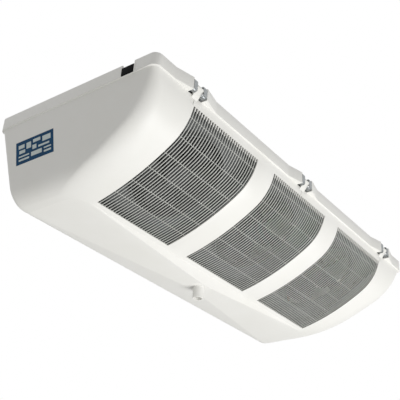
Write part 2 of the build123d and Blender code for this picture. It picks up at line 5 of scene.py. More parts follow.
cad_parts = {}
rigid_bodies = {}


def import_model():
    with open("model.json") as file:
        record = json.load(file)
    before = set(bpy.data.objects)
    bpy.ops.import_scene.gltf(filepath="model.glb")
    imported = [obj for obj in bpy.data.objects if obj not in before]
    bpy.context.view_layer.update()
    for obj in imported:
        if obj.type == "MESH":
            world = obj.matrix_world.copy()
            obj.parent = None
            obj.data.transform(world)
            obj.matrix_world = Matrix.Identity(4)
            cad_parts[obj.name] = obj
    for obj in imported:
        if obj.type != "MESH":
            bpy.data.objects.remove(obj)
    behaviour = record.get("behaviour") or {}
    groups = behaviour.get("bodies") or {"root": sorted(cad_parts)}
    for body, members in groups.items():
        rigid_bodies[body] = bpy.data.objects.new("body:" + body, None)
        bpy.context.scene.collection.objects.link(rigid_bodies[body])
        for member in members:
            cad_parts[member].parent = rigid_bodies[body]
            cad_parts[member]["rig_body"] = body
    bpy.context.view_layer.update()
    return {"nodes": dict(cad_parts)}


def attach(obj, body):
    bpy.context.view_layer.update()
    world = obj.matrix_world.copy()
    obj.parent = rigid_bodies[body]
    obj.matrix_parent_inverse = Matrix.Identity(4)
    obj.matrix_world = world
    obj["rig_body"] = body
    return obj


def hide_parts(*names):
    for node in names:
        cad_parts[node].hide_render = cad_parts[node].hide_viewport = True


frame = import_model()
print("frame loaded:", len(frame["nodes"]), "nodes")

# sizes below are in millimetres and angles in degrees, unless a note says otherwise
mm = 0.001
perMetre = 1000
weldMm = 0.01
samePlaceMm = 0.01
sideNames = ["left", "middle", "right"]


def srgb(hexColour):
    # sRGB hex to the linear colour that shaders use
    channels = [int(hexColour[i:i + 2], 16) / 255 for i in (0, 2, 4)]
    return tuple([c / 12.92 if c <= 0.04045 else ((c + 0.055) / 1.055) ** 2.4 for c in channels] + [1.0])


def newMaterial(name, colour, roughness, metallic=0.0, ior=1.45, specular=0.5):
    material = bpy.data.materials.new(name)
    material.use_nodes = True
    shader = material.node_tree.nodes["Principled BSDF"]
    shader.inputs["Base Color"].default_value = srgb(colour)
    shader.inputs["Roughness"].default_value = roughness
    shader.inputs["Metallic"].default_value = metallic
    if not metallic:
        shader.inputs["IOR"].default_value = ior
    shader.inputs["Specular IOR Level"].default_value = specular
    return material


def addNode(tree, kind, links=None, values=None, settings=None):
    # links map an input to (node, output), values are unlinked inputs, settings are attributes
    node = tree.nodes.new(kind)
    for key, value in (settings or {}).items():
        setattr(node, key, value)
    for key, value in (values or {}).items():
        node.inputs[key].default_value = value
    for key, (source, output) in (links or {}).items():
        tree.links.new(source.outputs[output], node.inputs[key])
    return node


# noise that all finishes share; low and high are where one patch ends and the next begins
texture = {
    "fineDetail": 3.0, "fineRough": 0.55, "patchDetail": 2.0, "patchRough": 0.5, "low": 0.3, "high": 0.7,
}


def grain(material, grainMm, depthMm, colourA, colourB, patchMm, roughA, roughB):
    # a fine bump, and slow patches of colour and gloss; a grain too fine to show is drawn coarser than it is
    tree = material.node_tree
    shader = tree.nodes["Principled BSDF"]
    low, high = texture["low"], texture["high"]
    coords = addNode(tree, "ShaderNodeTexCoord")
    fine = addNode(tree, "ShaderNodeTexNoise", {"Vector": (coords, "Object")},
                   {"Scale": perMetre / grainMm, "Detail": texture["fineDetail"],
                    "Roughness": texture["fineRough"]})
    bump = addNode(tree, "ShaderNodeBump", {"Height": (fine, "Fac")},
                   {"Strength": 1.0, "Distance": depthMm * mm})
    patches = addNode(tree, "ShaderNodeTexNoise", {"Vector": (coords, "Object")},
                      {"Scale": perMetre / patchMm, "Detail": texture["patchDetail"],
                       "Roughness": texture["patchRough"]})
    ramp = addNode(tree, "ShaderNodeValToRGB", {"Fac": (patches, "Fac")})
    for element, place, colour in zip(ramp.color_ramp.elements, (low, high), (colourA, colourB)):
        element.position = place
        element.color = srgb(colour)
    gloss = addNode(tree, "ShaderNodeMapRange", {"Value": (patches, "Fac")},
                    {"From Min": low, "From Max": high, "To Min": roughA, "To Max": roughB})
    tree.links.new(bump.outputs["Normal"], shader.inputs["Normal"])
    tree.links.new(ramp.outputs["Color"], shader.inputs["Base Color"])
    tree.links.new(gloss.outputs["Result"], shader.inputs["Roughness"])


# ABS, injection moulded in warm white: a soft satin sheen with a faint orange peel
absWhite = newMaterial("absMouldedWhite", "EDECE7", 0.42, ior=1.53)
grain(absWhite, 2.2, 0.012, "ECEBE6", "EFEEEA", 90, 0.38, 0.46)
# the same plastic on the thin ribs, drawn greyer than the moulding: painted shade for the ribs sunk in the
# grille
paintedShadeRibs = newMaterial("ribPlasticPaintedShade", "CDCEC9", 0.5, ior=1.53)
grain(paintedShadeRibs, 2.2, 0.008, "C9CAC5", "D1D2CD", 60, 0.46, 0.54)
# galvanised sheet: grey spangle, half matt
galvanised = newMaterial("galvanisedSheet", "B9BCBD", 0.45, metallic=1.0)
grain(galvanised, 6.0, 0.01, "A9ADAF", "C4C7C8", 9, 0.36, 0.52)
# dark grey sheet for the fan deck and motor straps: painted shade for what lies behind the grilles, half matt
paintedShadeDeck = newMaterial("darkSheetPaintedShade", "5C5E5F", 0.6)
grain(paintedShadeDeck, 5.0, 0.01, "575A5B", "626465", 30, 0.55, 0.66)
# zinc-plated pressed steel: darker, slightly blue, brighter on its edges
zincPlate = newMaterial("zincPlatedSteel", "9EA1A2", 0.4, metallic=1.0)
grain(zincPlate, 1.5, 0.01, "929698", "AAACAC", 5, 0.34, 0.48)
# stainless steel pins and screws, turned
stainless = newMaterial("stainlessTurned", "C2C3C1", 0.26, metallic=1.0)
grain(stainless, 0.8, 0.004, "BDBEBC", "C8C8C6", 4, 0.22, 0.32)
# bare copper tube, drawn, a little oxidised
copper = newMaterial("copperTube", "9E6448", 0.36, metallic=1.0)
grain(copper, 4.0, 0.01, "8E5638", "AA7052", 14, 0.3, 0.46)
# aluminium fin strip, rolled and bright
finStrip = newMaterial("aluminiumFinStrip", "C9CCCE", 0.38, metallic=1.0)
grain(finStrip, 3.0, 0.008, "BEC2C4", "D0D3D4", 22, 0.32, 0.46)
# motor body: stove-enamelled steel, satin black
motorEnamel = newMaterial("motorBlackEnamel", "2A2B2D", 0.4)
grain(motorEnamel, 1.8, 0.01, "262729", "303134", 18, 0.34, 0.48)
# glass-filled nylon, moulded: matt charcoal, with hardly a highlight
fanNylon = newMaterial("fanBlackNylon", "2C2D2F", 0.55)
grain(fanNylon, 0.9, 0.008, "28292B", "323335", 25, 0.5, 0.62)
# rubber, moulded: flat black that swallows the light
rubberBlack = newMaterial("rubberBlack", "0B0B0C", 0.8, specular=0.15)
grain(rubberBlack, 0.7, 0.01, "090A0A", "0E0F10", 8, 0.74, 0.86)
# ABS, moulded in grey: one even colour with a soft sheen
boxGrey = newMaterial("boxGreyPlastic", "9A9DA0", 0.5)
grain(boxGrey, 0.8, 0.012, "95989B", "9FA2A5", 30, 0.45, 0.56)
print("materials made")


casing = {
    "length": 1090.0, "depth": 441.0, "rimTop": -1.5, "rimHeight": 28.0, "rimStep": 4.0, "rimCorner": 15.0,
    "bodyDrop": 200.0, "endDraft": 12.8, "endRound": 55.0, "backDraft": 8.3, "backRound": 12.0,
    "backCorner": 12.0, "frontDraft": 11.0, "frontFlat": 17.0, "noseRadius": 115.0, "noseTurn": 46.4,
    "slopeRadius": 585.0, "cornerGrowth": 0.33, "cornerLargest": 52.0, "slotFree": 418.0, "wall": 3.0,
    "funnelDepth": 20.5, "funnelY": 71.0, "funnelPad": 46.0, "spigotHole": 13.6, "levelStep": 9.0,
    "cornerSteps": 10, "edgeRound": 0.7, "edgeSteps": 2, "smoothAngle": 30, "levelGap": 1.2,
    "backMargin": 1.0, "creaseBelow": 0.5, "funnelFace": 20.0,
}
grilles = {
    "count": 3, "pitch": 298.6, "slots": 30, "slotPitch": 7.8, "slotWidth": 5.4, "topDrop": 45.0,
    "bottomY": 23.0, "toothRow": 9.0, "ribSink": 0.8, "ribDeep": 3.0, "ribWide": 2.1, "ribRound": 0.9,
    "ribSteps": 46, "ribTaper": 0.8, "ribRoundSteps": 4, "ribStart": 1.5, "ribRunOut": 2.0,
    "ribBunch": 0.75, "ribSmooth": 50,
}
hinges = {
    "pitch": 419.0, "count": 3, "gapHalf": 22.0, "flareOut": 10.0, "crest": 2.0, "ramp": 42.0, "slit": 0.7,
}
window = {"half": 500.0, "topDrop": 46.0, "bottomDrop": 152.0, "bays": 3, "post": 20.0}
notch = {"y": -149.0, "width": 31.0, "bottomDrop": 27.5, "tuck": 0.5}

rimBottom = casing["rimTop"] - casing["rimHeight"]
floorZ = casing["rimTop"] - casing["bodyDrop"]
halfLength = casing["length"] / 2
halfDepth = casing["depth"] / 2
grilleXs = [grilles["pitch"] * (i - (grilles["count"] - 1) / 2) for i in range(grilles["count"])]
hingeXs = [hinges["pitch"] * (i - (hinges["count"] - 1) / 2) for i in range(hinges["count"])]
grilleTop = casing["rimTop"] - grilles["topDrop"]
grilleHalf = ((grilles["slots"] - 1) * grilles["slotPitch"] + grilles["slotWidth"]) / 2
toothZ = grilleTop - grilles["toothRow"]


def frontArcs():
    # the front's profile: a drafted line, the nose's arc, then the long slope's arc
    draft = radians(casing["frontDraft"])
    start = radians(180) + draft
    turn = start + radians(casing["noseTurn"])
    lineEnd = (-halfDepth + casing["rimStep"] + casing["frontFlat"] * tan(draft),
               rimBottom - casing["frontFlat"])
    nose = (lineEnd[0] - casing["noseRadius"] * cos(start),
            lineEnd[1] - casing["noseRadius"] * sin(start))
    gap = casing["noseRadius"] - casing["slopeRadius"]
    slope = (nose[0] + gap * cos(turn), nose[1] + gap * sin(turn))
    return lineEnd, nose, slope, start, turn


lineEnd, noseCentre, slopeCentre, noseStart, noseEnd = frontArcs()


def frontY(z):
    # y of the front profile at a height
    if z > noseCentre[1] + casing["noseRadius"] * sin(noseStart):
        return lineEnd[0] - (z - lineEnd[1]) * tan(radians(casing["frontDraft"]))
    centre, radius = noseCentre, casing["noseRadius"]
    if z < noseCentre[1] + radius * sin(noseEnd):
        centre, radius = slopeCentre, casing["slopeRadius"]
    return centre[0] - sqrt(radius ** 2 - (z - centre[1]) ** 2)


def wallAt(z, top, draft, bottomRound):
    # how far out a drafted wall stands at a height, where it rounds into the floor
    lean = radians(draft)
    centreZ = floorZ + bottomRound
    centre = top - (rimBottom - centreZ) * tan(lean) - bottomRound / cos(lean)
    if z < centreZ - bottomRound * sin(lean):
        return centre + sqrt(max(bottomRound ** 2 - (z - centreZ) ** 2, 0))
    return top - (rimBottom - z) * tan(lean)


def endX(z):
    return wallAt(z, halfLength - casing["rimStep"], casing["endDraft"], casing["endRound"])


def backY(z):
    return wallAt(z, halfDepth - casing["rimStep"], casing["backDraft"], casing["backRound"])


def profileLevels():
    # heights down the front, evenly spaced along the curve
    levels = [rimBottom, (rimBottom + grilleTop) / 2]
    noseSteps = round(casing["noseRadius"] * (noseEnd - noseStart) / casing["levelStep"])
    for i in range(noseSteps + 1):
        angle = noseStart + (noseEnd - noseStart) * i / noseSteps
        levels.append(noseCentre[1] + casing["noseRadius"] * sin(angle))
    floorAngle = pi + asin((slopeCentre[1] - floorZ) / casing["slopeRadius"])
    slopeSteps = round(casing["slopeRadius"] * (floorAngle - noseEnd) / casing["levelStep"])
    for i in range(1, slopeSteps + 1):
        angle = noseEnd + (floorAngle - noseEnd) * i / slopeSteps
        levels.append(slopeCentre[1] + casing["slopeRadius"] * sin(angle))
    bottomZ = slopeCentre[1] - sqrt(casing["slopeRadius"] ** 2 - (grilles["bottomY"] - slopeCentre[0]) ** 2)
    exact = [bottomZ, grilleTop, toothZ, casing["rimTop"] - window["topDrop"],
             casing["rimTop"] - window["bottomDrop"]]
    kept = [z for z in levels if all(abs(z - e) > casing["levelGap"] for e in exact)]
    ordered = sorted(set(round(z, 4) for z in kept + exact), reverse=True)
    return ordered, round(bottomZ, 4)


levels, grilleBottomZ = profileLevels()


def frontStations():
    # x of every column along the front: slot edges, slits and flare corners
    xs = []
    for grilleX in grilleXs:
        for i in range(grilles["slots"]):
            slotX = grilleX + grilles["slotPitch"] * (i - (grilles["slots"] - 1) / 2)
            xs += [slotX - grilles["slotWidth"] / 2, slotX + grilles["slotWidth"] / 2]
    for x in hingeXs:
        for side in (-1, 1):
            for reach in (hinges["slit"], hinges["gapHalf"], hinges["gapHalf"] + hinges["crest"],
                          hinges["gapHalf"] + hinges["crest"] + hinges["ramp"]):
                xs.append(x + side * reach)
    return sorted(xs)


def flareAt(x):
    # how far the rim stands out beside the hinge gaps
    out = 0.0
    for station in hingeXs:
        away = abs(x - station) - hinges["gapHalf"] - hinges["crest"]
        share = min(1.0, 1.0 - away / hinges["ramp"]) if away > 0 else 1.0
        out = max(out, hinges["flareOut"] * share)
    return out


fixedXs = frontStations()
bay = (2 * window["half"] - (window["bays"] - 1) * window["post"]) / window["bays"]
bayCentres = [(bay + window["post"]) * (i - (window["bays"] - 1) / 2) for i in range(window["bays"])]
backXs = sorted([c + s * bay / 2 for c in bayCentres for s in (-1, 1)], reverse=True)
notchYs = [notch["y"] + notch["width"] / 2, notch["y"] - notch["width"] / 2]


def ring(z, halfX, front, back, frontRound, backRound, flared=False):
    # one level of the moulding, anticlockwise from above, starting at the front left
    limit = halfX - frontRound
    free = casing["slotFree"]
    spare = halfLength - casing["rimStep"] - casing["rimCorner"] - free
    steps = casing["cornerSteps"]
    points = [(-limit, front, z)]
    for x in fixedXs:
        shifted = x
        if abs(x) > free and not flared:
            shifted = free + (abs(x) - free) * min(1.0, (limit - free) / spare)
            shifted *= 1 if x > 0 else -1
        points.append((shifted, front - (flareAt(x) if flared else 0.0), z))
    points.append((limit, front, z))

    def corner(cx, cy, radius, first):
        for i in range(1, steps):
            angle = radians(first + 90 * i / steps)
            points.append((cx + radius * cos(angle), cy + radius * sin(angle), z))

    corner(limit, front + frontRound, frontRound, -90)
    points.append((halfX, front + frontRound, z))
    points.append((halfX, back - backRound, z))
    corner(halfX - backRound, back - backRound, backRound, 0)
    backLimit = halfX - backRound
    points.append((backLimit, back, z))
    for x in backXs:
        reach = backLimit - casing["backMargin"]
        points.append((min(max(x, -reach), reach), back, z))
    points.append((-backLimit, back, z))
    corner(-backLimit, back - backRound, backRound, 90)
    points.append((-halfX, back - backRound, z))
    for i, y in enumerate(notchYs):
        points.append((-halfX, max(y, front + frontRound + (2 - i) * notch["tuck"]), z))
    points.append((-halfX, front + frontRound, z))
    corner(-limit, front + frontRound, frontRound, 180)
    return points


def bodyRing(z):
    x = endX(z)
    frontRound = min(casing["cornerLargest"], casing["rimCorner"] + casing["cornerGrowth"] * (rimBottom - z),
                     x - casing["slotFree"])
    return ring(z, x, frontY(z), backY(z), frontRound, casing["backCorner"])


def rimRing(z):
    return ring(z, halfLength, -halfDepth, halfDepth, casing["rimCorner"], casing["rimCorner"], True)


def padRing(z):
    # the flat round the drain: rows go to its sides, corners to its corners
    half = casing["funnelPad"] / 2
    base = bodyRing(floorZ)
    frontRow, backRow = min(p[1] for p in base), max(p[1] for p in base)
    frontReach = max(p[0] for p in base if p[1] < frontRow + samePlaceMm)
    backReach = max(p[0] for p in base if p[1] > backRow - samePlaceMm)
    result = []
    for x, y, _ in base:
        if y < frontRow + samePlaceMm:
            result.append((x / frontReach * half, casing["funnelY"] - half, z))
        elif y > backRow - samePlaceMm:
            result.append((x / backReach * half, casing["funnelY"] + half, z))
        else:
            side = half if y > (frontRow + backRow) / 2 else -half
            result.append((half if x > 0 else -half, casing["funnelY"] + side, z))
    return result


def holeRing(pad):
    # the round hole for the spigot, in the middle of the flat
    radius = casing["spigotHole"]
    result = []
    for x, y, z in pad:
        away = y - casing["funnelY"]
        reach = sqrt(x * x + away * away)
        result.append((x / reach * radius, casing["funnelY"] + away / reach * radius, z))
    return result


# where on the moulding each kind of hole may lie, and the margins that tell them apart
openBounds = {
    "grilleBack": 60.0, "slitBack": -190.0, "gapBack": -200.0, "windowFront": 150.0, "rowStep": 0.001,
    "rimGap": 0.5, "slitWidest": 2.5, "notchNear": 1.0, "postNear": 1.0,
}


def inSlot(x, z):
    # along the top row of teeth only the slots are open; below it the ribs are pieces of their own
    for grilleX in grilleXs:
        if abs(x - grilleX) < grilleHalf:
            phase = (x - grilleX) / grilles["slotPitch"] + (grilles["slots"] - 1) / 2
            return z < toothZ or abs(phase - round(phase)) < 0.5 * grilles["slotWidth"] / grilles["slotPitch"]
    return None


def isOpen(upper, lower, a, b):
    # holes in the moulding: air slots, hinge gaps, slits under them, rear window bays, cable notch
    middleZ = (upper[2] + lower[2]) / 2
    x, y = (a[0] + b[0]) / 2, (a[1] + b[1]) / 2
    width = abs(a[0] - b[0])
    level = abs(a[1] - b[1]) < openBounds["rowStep"]
    if y < openBounds["grilleBack"] and level and grilleBottomZ < middleZ < grilleTop:
        slot = inSlot(x, middleZ)
        if slot is not None:
            return slot
    if y < openBounds["slitBack"] and grilleTop < middleZ < rimBottom - openBounds["rimGap"]:
        if width < openBounds["slitWidest"] * hinges["slit"]:
            return any(abs(x - h) < hinges["slit"] for h in hingeXs)
    if y < openBounds["gapBack"] and middleZ > rimBottom - samePlaceMm:
        if any(abs(x - h) < hinges["gapHalf"] for h in hingeXs):
            return True
    drop = casing["rimTop"] - middleZ
    if y > openBounds["windowFront"] and window["bottomDrop"] > drop > window["topDrop"]:
        inBay = any(abs(x - c) < bay / 2 - openBounds["postNear"] for c in bayCentres)
        return width > window["post"] + openBounds["postNear"] and inBay
    if x < openBounds["notchNear"] - halfLength and middleZ > casing["rimTop"] - notch["bottomDrop"]:
        return abs(y - notch["y"]) < notch["width"] / 2
    return False


def meshPiece(name, fill):
    # a new piece whose faces come from fill, all turned outwards
    mesh = bmesh.new()
    fill(mesh)
    bmesh.ops.recalc_face_normals(mesh, faces=mesh.faces)
    data = bpy.data.meshes.new(name)
    mesh.to_mesh(data)
    mesh.free()
    piece = bpy.data.objects.new(name, data)
    bpy.context.scene.collection.objects.link(piece)
    return piece


def fillCasing(mesh):
    rimLevels = [casing["rimTop"], casing["rimTop"] - notch["bottomDrop"], rimBottom]
    rings = [rimRing(z) for z in rimLevels] + [bodyRing(z) for z in levels]
    pad = padRing(floorZ - casing["funnelDepth"])
    rings += [pad, holeRing(pad)]
    grid = [[mesh.verts.new((x * mm, y * mm, z * mm)) for x, y, z in points] for points in rings]
    count = len(rings[0])
    for upper, lower, upPoints, lowPoints in zip(grid, grid[1:], rings, rings[1:]):
        for i in range(count):
            j = (i + 1) % count
            if isOpen(upPoints[i], lowPoints[i], lowPoints[i], lowPoints[j]):
                continue
            mesh.faces.new((upper[i], lower[i], lower[j], upper[j]))
    bmesh.ops.remove_doubles(mesh, verts=mesh.verts, dist=weldMm * mm)
    bmesh.ops.delete(mesh, geom=[v for v in mesh.verts if not v.link_faces], context="VERTS")


def applyModifiers(piece):
    bpy.context.view_layer.update()
    evaluated = piece.evaluated_get(bpy.context.evaluated_depsgraph_get())
    mesh = bpy.data.meshes.new_from_object(evaluated)
    piece.modifiers.clear()
    piece.data = mesh
    return piece


bevelAngle = 40  # an edge sharper than this is rounded


def finishPiece(piece, material, smoothAngle=32, bevelMm=0.0, segments=2, solidMm=0.0, *, body,
                replaces=()):
    # modifiers applied, smooth faces with creases kept, then the piece rides on its body
    if solidMm:
        solid = piece.modifiers.new("wall", "SOLIDIFY")
        solid.thickness = solidMm * mm
        solid.offset = -1
        solid.use_even_offset = True
        solid.use_quality_normals = True
    if bevelMm:
        bevel = piece.modifiers.new("edge", "BEVEL")
        bevel.width = bevelMm * mm
        bevel.segments = segments
        bevel.limit_method = "ANGLE"
        bevel.angle_limit = radians(bevelAngle)
        bevel.harden_normals = False
        bevel.use_clamp_overlap = True
    mesh = applyModifiers(piece).data
    mesh.materials.clear()
    mesh.materials.append(material)
    for face in mesh.polygons:
        face.use_smooth = True
    mesh.set_sharp_from_angle(angle=radians(smoothAngle))
    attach(piece, body)
    if replaces:
        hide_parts(*replaces)


casingPiece = meshPiece("casingSkin", fillCasing)
finishPiece(casingPiece, absWhite, casing["smoothAngle"], casing["edgeRound"], casing["edgeSteps"],
            casing["wall"], body="casing", replaces=["casing"])
# the four faces of the drain funnel are flat, with crisp creases between them
creaseTop = (floorZ + casing["creaseBelow"]) * mm
for face in casingPiece.data.polygons:
    low = all(casingPiece.data.vertices[i].co.z < creaseTop for i in face.vertices)
    if low and face.area > casing["funnelFace"] * mm * mm:
        face.use_smooth = False
print("casing:", len(casingPiece.data.polygons), "faces")


def nodeTree(name, numbers):
    # a tree with named number inputs, a material input, and one geometry output
    tree = bpy.data.node_groups.new(name, "GeometryNodeTree")
    tree.interface.new_socket("Geometry", in_out="INPUT", socket_type="NodeSocketGeometry")
    for label, kind in numbers:
        tree.interface.new_socket(label, in_out="INPUT", socket_type=kind)
    tree.interface.new_socket("Material", in_out="INPUT", socket_type="NodeSocketMaterial")
    tree.interface.new_socket("Geometry", in_out="OUTPUT", socket_type="NodeSocketGeometry")
    return tree, tree.nodes.new("NodeGroupInput"), tree.nodes.new("NodeGroupOutput")


def closeTree(tree, given, output, node, socket):
    # realized, given its material, and sent out
    realize = addNode(tree, "GeometryNodeRealizeInstances", {"Geometry": (node, socket)})
    paint = addNode(tree, "GeometryNodeSetMaterial",
                    {"Geometry": (realize, "Geometry"), "Material": (given, "Material")})
    tree.links.new(paint.outputs["Geometry"], output.inputs["Geometry"])


def runTree(piece, tree, values):
    # inputs are set by identifier, before the first evaluation
    modifier = piece.modifiers.new(tree.name, "NODES")
    modifier.node_group = tree
    for item in tree.interface.items_tree:
        if item.in_out == "INPUT" and item.name in values:
            modifier[item.identifier] = values[item.name]
    return applyModifiers(piece)


def rowTree():
    # copies side by side along X, for the ribs and for the coil's fins
    tree, given, output = nodeTree("evenRow", [("Count", "NodeSocketInt"), ("Pitch", "NodeSocketFloat")])
    offset = addNode(tree, "ShaderNodeCombineXYZ", {"X": (given, "Pitch")})
    row = addNode(tree, "GeometryNodeMeshLine", {"Count": (given, "Count"), "Offset": (offset, "Vector")})
    spread = addNode(tree, "GeometryNodeInstanceOnPoints",
                     {"Points": (row, "Mesh"), "Instance": (given, "Geometry")})
    closeTree(tree, given, output, spread, "Instances")
    return tree


def outwards(z):
    # direction out of the moulding's front at a height, as y and z
    probe = 0.4  # above and below the height
    slope = (frontY(z - probe) - frontY(z + probe)) / (2 * probe)
    reach = sqrt(1 + slope * slope)
    return -1 / reach, -slope / reach


def frontPath():
    # points down the front of the moulding (y, z, outwards y, outwards z), closer together at the top
    steps = grilles["ribSteps"]
    first = toothZ + grilles["ribStart"] * grilles["toothRow"]
    last = grilleBottomZ - grilles["ribRunOut"]
    points = []
    for i in range(steps + 1):
        z = first + (last - first) * (i / steps) ** grilles["ribBunch"]
        points.append((frontY(z), z) + outwards(z))
    return points


def ribProfile():
    # outline of a rib: rounded outer face, straight sides that taper inwards
    half, radius = grilles["ribWide"] / 2, grilles["ribRound"]
    foot = half * grilles["ribTaper"]
    steps = grilles["ribRoundSteps"]
    profile = [(-foot, -grilles["ribDeep"])]
    for side, first in ((-1, 180), (1, 90)):
        for i in range(steps + 1):
            angle = radians(first - 90 * i / steps)
            profile.append((side * (half - radius) + radius * cos(angle),
                            -grilles["ribSink"] - radius + radius * sin(angle)))
    profile.append((foot, -grilles["ribDeep"]))
    return profile


def fillRib(mesh, x):
    # the outline (across, out) carried down the front
    profile = ribProfile()
    rows = []
    for y, z, ny, nz in frontPath():
        rows.append([mesh.verts.new(((x + across) * mm, (y + ny * out) * mm, (z + nz * out) * mm))
                     for across, out in profile])
    for upper, lower in zip(rows, rows[1:]):
        for i in range(len(profile)):
            j = (i + 1) % len(profile)
            mesh.faces.new((upper[i], upper[j], lower[j], lower[i]))
    mesh.faces.new(rows[0])
    mesh.faces.new(reversed(rows[-1]))


evenRow = rowTree()
# the ribs are drawn in the greyer plastic: painted shade
for name, grilleX in zip(sideNames, grilleXs):
    firstRib = grilleX - grilles["slotPitch"] * (grilles["slots"] - 2) / 2
    row = meshPiece("grilleRibs" + name.capitalize(), lambda mesh: fillRib(mesh, firstRib))
    runTree(row, evenRow, {"Count": grilles["slots"] - 1, "Pitch": grilles["slotPitch"] * mm,
                           "Material": paintedShadeRibs})
    finishPiece(row, paintedShadeRibs, grilles["ribSmooth"], body="casing", replaces=["casing"])
print("grille ribs placed")


def boxMesh(mesh, low, high):
    # a box between two corners, in mm
    corners = [(x, y, z) for x in (low[0], high[0]) for y in (low[1], high[1]) for z in (low[2], high[2])]
    verts = [mesh.verts.new([c * mm for c in corner]) for corner in corners]
    for quad in ((0, 1, 3, 2), (4, 6, 7, 5), (0, 4, 5, 1), (2, 3, 7, 6), (0, 2, 6, 4), (1, 5, 7, 3)):
        mesh.faces.new([verts[i] for i in quad])


crossBars = {"count": 6, "first": 24.0, "pitch": 44.8, "wide": 1.1, "deep": 1.4, "sink": 3.2, "overlap": 3.0,
             "walk": 0.25}


def barPlaces():
    # points at even distances down the front, from the grilles' top
    places, walked, z = [], 0.0, grilleTop
    step = crossBars["walk"]
    while z > grilleBottomZ and len(places) < crossBars["count"]:
        walked += sqrt(step ** 2 + (frontY(z - step) - frontY(z)) ** 2)
        z -= step
        if walked >= crossBars["first"] + len(places) * crossBars["pitch"]:
            places.append((frontY(z), z) + outwards(z))
    return places


def fillBars(mesh, grilleX):
    # six flat strips across one grille, under the ribs
    half = grilleHalf + crossBars["overlap"]
    for y, z, ny, nz in barPlaces():
        corners = []
        for out in (-crossBars["sink"], -crossBars["sink"] - crossBars["deep"]):
            for along in (-crossBars["wide"] / 2, crossBars["wide"] / 2):
                corners.append((y + ny * out - nz * along, z + nz * out + ny * along))
        ends = [[mesh.verts.new((x * mm, cy * mm, cz * mm)) for cy, cz in corners]
                for x in (grilleX - half, grilleX + half)]
        for i, j in ((0, 1), (1, 3), (3, 2), (2, 0)):
            mesh.faces.new((ends[0][i], ends[0][j], ends[1][j], ends[1][i]))
        for end in ends:
            mesh.faces.new((end[0], end[1], end[3], end[2]))


# the cross bars share that greyer plastic: painted shade
for name, grilleX in zip(sideNames, grilleXs):
    bars = meshPiece("grilleBars" + name.capitalize(), lambda mesh: fillBars(mesh, grilleX))
    finishPiece(bars, paintedShadeRibs, smoothAngle=40, body="casing", replaces=["grille_bars_" + name])


knuckle = {"axisY": -226.0, "axisZ": -14.0, "radius": 5.0, "half": 9.5, "rootY": -215.0, "rootTop": -30.5,
           "rootLow": -35.5, "turns": 20, "edge": 0.5}


def fillKnuckles(mesh):
    # a round eye on the hinge's axis, joined to the rim by two tangents
    def tangent(rootZ, turn):
        dy, dz = knuckle["rootY"] - knuckle["axisY"], rootZ - knuckle["axisZ"]
        return atan2(dz, dy) + turn * (radians(90) - asin(knuckle["radius"] / sqrt(dy * dy + dz * dz)))

    upper, lower = tangent(knuckle["rootTop"], 1), tangent(knuckle["rootLow"], -1)
    outline = [(knuckle["rootY"], knuckle["rootLow"]), (knuckle["rootY"], knuckle["rootTop"])]
    sweep = (lower - upper) % (2 * pi)
    for i in range(knuckle["turns"] + 1):
        angle = upper + sweep * i / knuckle["turns"]
        outline.append((knuckle["axisY"] + knuckle["radius"] * cos(angle),
                        knuckle["axisZ"] + knuckle["radius"] * sin(angle)))
    for x in hingeXs:
        ends = [[mesh.verts.new(((x + side * knuckle["half"]) * mm, y * mm, z * mm)) for y, z in outline]
                for side in (-1, 1)]
        for i in range(len(outline)):
            j = (i + 1) % len(outline)
            mesh.faces.new((ends[0][i], ends[0][j], ends[1][j], ends[1][i]))
        for end in ends:
            mesh.faces.new(end)


finishPiece(meshPiece("casingKnuckles", fillKnuckles), absWhite, smoothAngle=35, bevelMm=knuckle["edge"],
            body="casing", replaces=["casing"])


notchFrame = {"wide": 3.0, "proud": 1.0, "sunk": 0.5, "top": -10.0, "edge": 0.4}


def fillNotchFrame(mesh):
    # two raised strips beside the cable notch
    outer = -halfLength - notchFrame["proud"]
    inner = -halfLength + notchFrame["sunk"]
    half, band = notch["width"] / 2, notchFrame["wide"]
    bottom = casing["rimTop"] - notch["bottomDrop"]
    boxMesh(mesh, (outer, notch["y"] - half - band, bottom), (inner, notch["y"] - half, notchFrame["top"]))
    boxMesh(mesh, (outer, notch["y"] + half, bottom), (inner, notch["y"] + half + band, notchFrame["top"]))


finishPiece(meshPiece("notchFrame", fillNotchFrame), absWhite, smoothAngle=35, bevelMm=notchFrame["edge"],
            body="casing", replaces=["casing"])


# across and down from the plate's upper corner: left, right, high and low of each pale field
label = {
    "y0": 58.0, "y1": 170.0, "top": -72.2, "bottom": -122.0, "thick": 0.5, "sunk": 0.1, "fieldSunk": 0.15,
    "fieldThick": 0.12,
    "fields": [(8, 26, 8, 16), (32, 46, 8, 21), (52, 74, 6, 13), (80, 104, 7, 18), (10, 28, 20, 27),
               (50, 62, 18, 27), (68, 100, 23, 27), (8, 40, 32, 35), (46, 78, 32, 41), (84, 105, 32, 35),
               (8, 40, 39, 43), (84, 105, 39, 43)],
}
# flat printing inks: a deep blue ground and pale fields, hardly any gloss
labelBlue = newMaterial("labelBluePrint", "0F4266", 0.6, specular=0.15)
grain(labelBlue, 2.0, 0.003, "0D3E61", "12486E", 20, 0.46, 0.54)
labelPale = newMaterial("labelPalePrint", "C9D3D2", 0.4)
grain(labelPale, 2.0, 0.003, "C3CDCC", "CFD8D7", 20, 0.36, 0.44)


def endPlate(name, y0, y1, top, bottom, lift, thick, material):
    # a thin plate that lies on the leaning end wall
    def fill(mesh):
        lean = tan(radians(casing["endDraft"]))
        sheets = []
        for out in (lift, lift + thick):
            corners = []
            for y, z in ((y0, top), (y1, top), (y1, bottom), (y0, bottom)):
                x = -(halfLength - casing["rimStep"] - (rimBottom - z) * lean) - out
                corners.append(mesh.verts.new((x * mm, y * mm, z * mm)))
            sheets.append(corners)
            mesh.faces.new(corners)
        for i in range(4):
            j = (i + 1) % 4
            mesh.faces.new((sheets[0][i], sheets[0][j], sheets[1][j], sheets[1][i]))

    finishPiece(meshPiece(name, fill), material, smoothAngle=30, body="casing")


